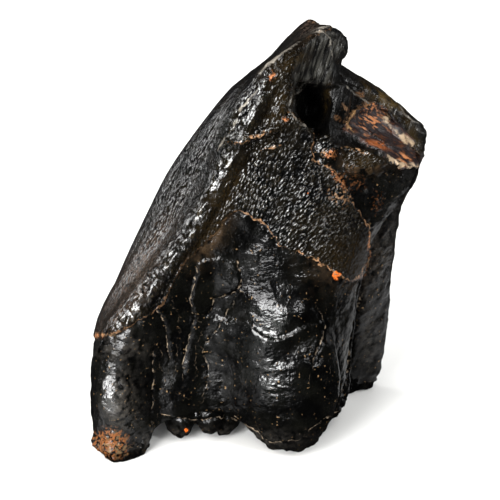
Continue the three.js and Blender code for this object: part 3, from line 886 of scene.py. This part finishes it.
def embossed(tree, at, form, s, inward=False):
    # the surface's own fine form, then grit, as bumps
    main = put(tree, "ShaderNodeBump", {"Height": form, "Strength": 1.0, "Distance": s["formHeight"] * mm},
        invert=inward).outputs["Normal"]
    fine = put(tree, "ShaderNodeTexNoise", {"Vector": at, "Scale": perMm(s["grit"]), "Detail": 2.0})
    return put(tree, "ShaderNodeBump", {"Height": fine.outputs["Fac"], "Normal": main, "Strength": 1.0,
        "Distance": s["gritHeight"] * mm}).outputs["Normal"]


# Stains are: the stored patch (or none, for everywhere), its cloud (size in millimetres, where it starts,
# where it is full, detail), how crisp, and colour. Lines are: the stored distance and its share, half
# width, how far they wander, the cloud that breaks them, and colour.
amberStain = ("amberShare", (0.6, 0.3, 0.4), 0.9, "#b0561e")
seamLine = ("enamelEdge", "seamShare", 0.20, 0.45, (1.3, 0.38, 0.56, 5.0), "#6b5039")

# Fossil enamel, grown in fine wrinkles and stained black: small bright glints on a dark ground.
enamelSet = {
    "dark": "#020202",
    "crown": "#1f1a11",  # painted light: the bead tops lighter brown than the dark creases between them
    "ochre": "#1a1308",
    "ground": [(None, (3.0, 0.40, 0.62), 0, "#090704")],
    "stains": [
        # brown dust; this mask also carries painted sheen on the root's far tongue-side strip
        ("dustAndSheenShare", (0.7, 0.40, 0.58), 0, "#3a3029"),
        ("siltShare", (0.6, 0.44, 0.60), 0.6, "#7d5f45"),
        ("rustShare", (0.5, 0.42, 0.56), 0.6, "#8f5c3c"),
        amberStain,
    ],
    "lines": [
        # pale worn edges of the enamel, and along the cheek band a painted highlight
        ("paleSide", "paleShare", 0.17, 0.12, (2.5, 0.38, 0.62), "#6a655d"),
        # painted highlights along the polished crest
        ("bandSide", "paleShare", 0.24, 0.15, (3.5, 0.30, 0.55), "#6a655d"),
        seamLine,
    ],
    "ior": 1.62,
    "gloss": 0.55,
    "creaseGloss": 0.02,  # dirt keeps the creases dull
    "wear": (1.4, 0.3, 0.7),
    "smoothest": 0.13,
    "roughest": 0.25,
    "polished": 0.13,
    "bead": (1.0, 0.48, 0.44),  # millimetres along, deep and across; the real beads are a little finer
    "flatTurn": 46,  # which way they run, in degrees
    "steepTurn": 66,
    "knot": (2.4, 1.4, 1.4),  # the big beads of the ridge
    "knotTurn": 60,
    "knotDepth": 0.6,
    "grain": (0.70, 0.9, 0.50),  # of the cheek
    "grainTurn": 58,
    "cheekDepth": 0.54,  # of the cheek grain, as a share of the bead depth
    "tops": (0.02, 0.12),  # of the form, which is 0 on a bead's top: where the top fades
    "creases": (0.10, 0.35),  # where the creases set in and are full
    "formHeight": 0.33,
    "grit": 0.4,
    "gritHeight": 0.11,
}


def enamelMaterial(e):
    material, tree, shader, at = newMaterial("wrinkled_fossil_enamel")
    steepShare = put(tree, "ShaderNodeAttribute", attribute_name="steepShare").outputs["Fac"]
    cheekShare = put(tree, "ShaderNodeAttribute", attribute_name="cheekShare").outputs["Fac"]
    ridgeShare = put(tree, "ShaderNodeAttribute", attribute_name="ridgeShare").outputs["Fac"]
    back = put(tree, "ShaderNodeMix", {0: steepShare, 2: beads(tree, at, e["flatTurn"], e["bead"]),
        3: beads(tree, at, e["steepTurn"], e["bead"])}).outputs[0]
    knots = put(tree, "ShaderNodeMath", {0: beads(tree, at, e["knotTurn"], e["knot"]), 1: e["knotDepth"]},
        operation="MULTIPLY").outputs["Value"]
    ridged = put(tree, "ShaderNodeMix", {0: ridgeShare, 2: back, 3: knots}).outputs[0]
    cheek = put(tree, "ShaderNodeMath", {0: grain(tree, at, e["grainTurn"], e["grain"]),
        1: e["cheekDepth"]}, operation="MULTIPLY").outputs["Value"]
    form = put(tree, "ShaderNodeMix", {0: cheekShare, 2: ridged, 3: cheek}).outputs[0]
    creases = put(tree, "ShaderNodeMapRange", {"Value": form, "From Min": e["creases"][0],
        "From Max": e["creases"][1]}).outputs["Result"]
    tops = put(tree, "ShaderNodeMapRange", {"Value": form, "From Min": e["tops"][0],
        "From Max": e["tops"][1], "To Min": 1.0, "To Max": 0.0}).outputs["Result"]
    base = stained(tree, at, linear(e["dark"]), e["ground"])
    # painted light: bead tops laid over lighter than the creases
    base = over(tree, base, tops, e["crown"])
    base = over(tree, base, storedShare(tree, "ochreShare", creases), e["ochre"])
    shine = put(tree, "ShaderNodeMapRange", {"Value": creases, "To Min": e["gloss"],
        "To Max": e["creaseGloss"]}).outputs["Result"]
    wire(tree, shader, {
        "Base Color": stained(tree, at, base, e["stains"], e["lines"]),
        "Roughness": rubbed(tree, worn(tree, at, e), e["polished"]),
        "Normal": embossed(tree, at, form, e, inward=True),
        "Specular IOR Level": dulled(tree, shine), "IOR": e["ior"]})
    return material


# Enamel ground by chewing: smooth grey-black with fine grooves, so it shines in long soft streaks.
wornSet = {
    "dark": "#040404",
    # painted shade: near-black laid where the top is dull, strongest in the fossette hole
    "pit": "#020202",
    "streak": "#2d2c28",
    "ground": [(None, (2.4, 0.40, 0.60), 0, "#0c0b0a")],
    "stains": [
        ("ochreShare", (1.6, 0.38, 0.60), 0, "#3a2d14"),
        ("siltShare", (0.9, 0.42, 0.56), 0.6, "#7d5f45"),
        ("rustShare", (0.6, 0.36, 0.5), 0.6, "#6f4f34"),
    ],
    "lines": [
        # pale worn edges of the enamel, and along the cheek band a painted highlight
        ("paleSide", "paleShare", 0.18, 0.12, (2.0, 0.36, 0.60), "#625e57"),
        # painted highlights along the polished crest
        ("bandSide", "paleShare", 0.24, 0.15, (3.5, 0.30, 0.55), "#625e57"),
    ],
    "ior": 1.62,
    "gloss": 0.50,
    "grooveGloss": 0.14,
    "wear": (1.8, 0.3, 0.7),
    "smoothest": 0.24,
    "roughest": 0.40,
    "groove": (5.0, 2.0, 0.55),
    "grooveTurn": 72,
    "streaks": (0.44, 0.62),
    "formHeight": 0.42,
    "grit": 0.35,
    "gritHeight": 0.10,
}


def wornMaterial(w):
    material, tree, shader, at = newMaterial("chewed_smooth_enamel")
    grooves = grain(tree, at, w["grooveTurn"], w["groove"])
    streaks = put(tree, "ShaderNodeMapRange", {"Value": grooves, "From Min": w["streaks"][0],
        "From Max": w["streaks"][1]}).outputs["Result"]
    # painted shade: near-black over the dull patches of the top, strongest in the fossette hole
    dullShadeShare = put(tree, "ShaderNodeAttribute", attribute_name="dullShare").outputs["Fac"]
    base = stained(tree, at, linear(w["dark"]), w["ground"])
    base = over(tree, base, storedShare(tree, "streakShare", streaks), w["streak"])
    base = stained(tree, at, base, w["stains"], w["lines"])
    shine = put(tree, "ShaderNodeMapRange", {"Value": streaks, "To Min": w["grooveGloss"],
        "To Max": w["gloss"]}).outputs["Result"]
    wire(tree, shader, {
        "Base Color": over(tree, base, dullShadeShare, w["pit"]), "Roughness": worn(tree, at, w),
        "Normal": embossed(tree, at, grooves, w), "Specular IOR Level": dulled(tree, shine),
        "IOR": w["ior"]})
    return material


# Dentine laid bare where the crown broke: splintery, amber in purple grey, dull beside the enamel.
dentineSet = {
    "grey": "#171112",
    "brown": "#3a2114",
    "tan": "#8f5c38",
    "tanCrisp": 0.3,
    "stains": [
        ("amberShare", (0.8, 0.3, 0.5), 0.3, "#6b360f"),
        ("creamShare", (1.2, 0.36, 0.54), 0.5, "#8a7760"),
        ("siltShare", (0.8, 0.36, 0.52), 0.5, "#80603c"),
    ],
    "ior": 1.54,
    "gloss": 0.45,
    "wear": (3.0, 0.44, 0.58),
    "smoothest": 0.34,
    "roughest": 0.55,
    "fibre": (2.6, 0.8, 0.5),
    "fibreTurn": -30,
    "fibreDetail": 3.0,
    "streaks": (0.50, 0.62),
    "formHeight": 0.30,
    "grit": 0.35,
    "gritHeight": 0.06,
}


def dentineMaterial(d):
    material, tree, shader, at = newMaterial("broken_fibrous_dentine")
    fibres = grain(tree, at, d["fibreTurn"], d["fibre"], d["fibreDetail"])
    streaks = put(tree, "ShaderNodeMapRange", {"Value": fibres, "From Min": d["streaks"][0],
        "From Max": d["streaks"][1]}).outputs["Result"]
    base = over(tree, linear(d["grey"]), streaks, d["brown"])
    base = over(tree, base, storedShare(tree, "rustShare", streaks, d["tanCrisp"]), d["tan"])
    wire(tree, shader, {
        "Base Color": stained(tree, at, base, d["stains"]), "Roughness": worn(tree, at, d),
        "Normal": embossed(tree, at, fibres, d), "Specular IOR Level": d["gloss"], "IOR": d["ior"]})
    return material


# Cementum of the roots, packed hard and stained black, with pale silt left in its cracks and pits.
rootSet = {
    "dark": "#010101",
    "stains": [
        (None, (4.5, 0.42, 0.64), 0, "#040403"),
        # grey dust, and painted sheen on the far tongue-side strip
        ("dustAndSheenShare", (1.2, 0.38, 0.6), 0, "#383531"),
        ("ochreShare", (1.6, 0.38, 0.60), 0, "#33271a"),
        (None, (0.6, 0.69, 0.74, 2.0), 0, "#57452f"),  # specks
        ("siltShare", (0.9, 0.44, 0.58, 6.0), 0.6, "#57452f"),
        ("rustShare", (0.6, 0.42, 0.58, 5.0), 0.6, "#57341a"),
        amberStain,
    ],
    "lines": [
        ("crackSide", "crackShare", 0.12, 0.15, (1.2, 0.45, 0.64), "#665a4c"),
        seamLine,
    ],
    "ior": 1.56,
    "gloss": 0.46,
    "dullGloss": 0.06,
    "glossCloud": (2.6, 0.36, 0.6, 5.0),
    "rubbedGloss": 0.46,
    "wear": (2.0, 0.3, 0.7),
    "smoothest": 0.16,
    "roughest": 0.26,
    "polished": 0.22,
    "ring": (1.6, 1.0, 0.7),
    "ringTurn": 4,
    "formHeight": 0.10,
    "grit": 0.6,
    "gritHeight": 0.12,
}


def rootMaterial(c):
    material, tree, shader, at = newMaterial("compact_fossil_cementum")
    rings = grain(tree, at, c["ringTurn"], c["ring"])
    patchy = put(tree, "ShaderNodeMapRange", {"Value": mottle(tree, at, *c["glossCloud"]),
        "To Min": c["dullGloss"], "To Max": c["gloss"]}).outputs["Result"]
    shine = rubbed(tree, patchy, c["rubbedGloss"])
    wire(tree, shader, {
        "Base Color": stained(tree, at, linear(c["dark"]), c["stains"], c["lines"]),
        "Roughness": rubbed(tree, worn(tree, at, c), c["polished"]),
        "Normal": embossed(tree, at, rings, c), "Specular IOR Level": dulled(tree, shine), "IOR": c["ior"]})
    return material


def dress(piece, r):
    # each face takes the material of what it is part of
    mesh = piece.data
    root, enamel, ground, dentine = range(4)
    for material in (rootMaterial(rootSet), enamelMaterial(enamelSet), wornMaterial(wornSet),
            dentineMaterial(dentineSet)):
        mesh.materials.append(material)
    kind = np.where((r["enamel"] > 0) | (r["knob"] > 0.6), enamel, root)
    kind = np.where(r["top"] > 0, ground, kind)
    kind = np.where((r["bowl"] > -0.3) & (r["seen"] > 0.2) & (r["top"] > -0.6), dentine, kind)
    firstLoop = np.zeros(len(mesh.polygons), np.int32)
    mesh.polygons.foreach_get("loop_start", firstLoop)
    corner = np.zeros(len(mesh.loops), np.int32)
    mesh.loops.foreach_get("vertex_index", corner)
    mesh.polygons.foreach_set("material_index", kind[corner[firstLoop]].astype(np.int32))
    mesh.polygons.foreach_set("use_smooth", np.ones(len(mesh.polygons), bool))
    mesh.transform(Matrix.Scale(mm, 4))
    mesh.update()


dress(tooth, r)
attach(tooth, "root")
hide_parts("tooth")
print("tooth dressed")
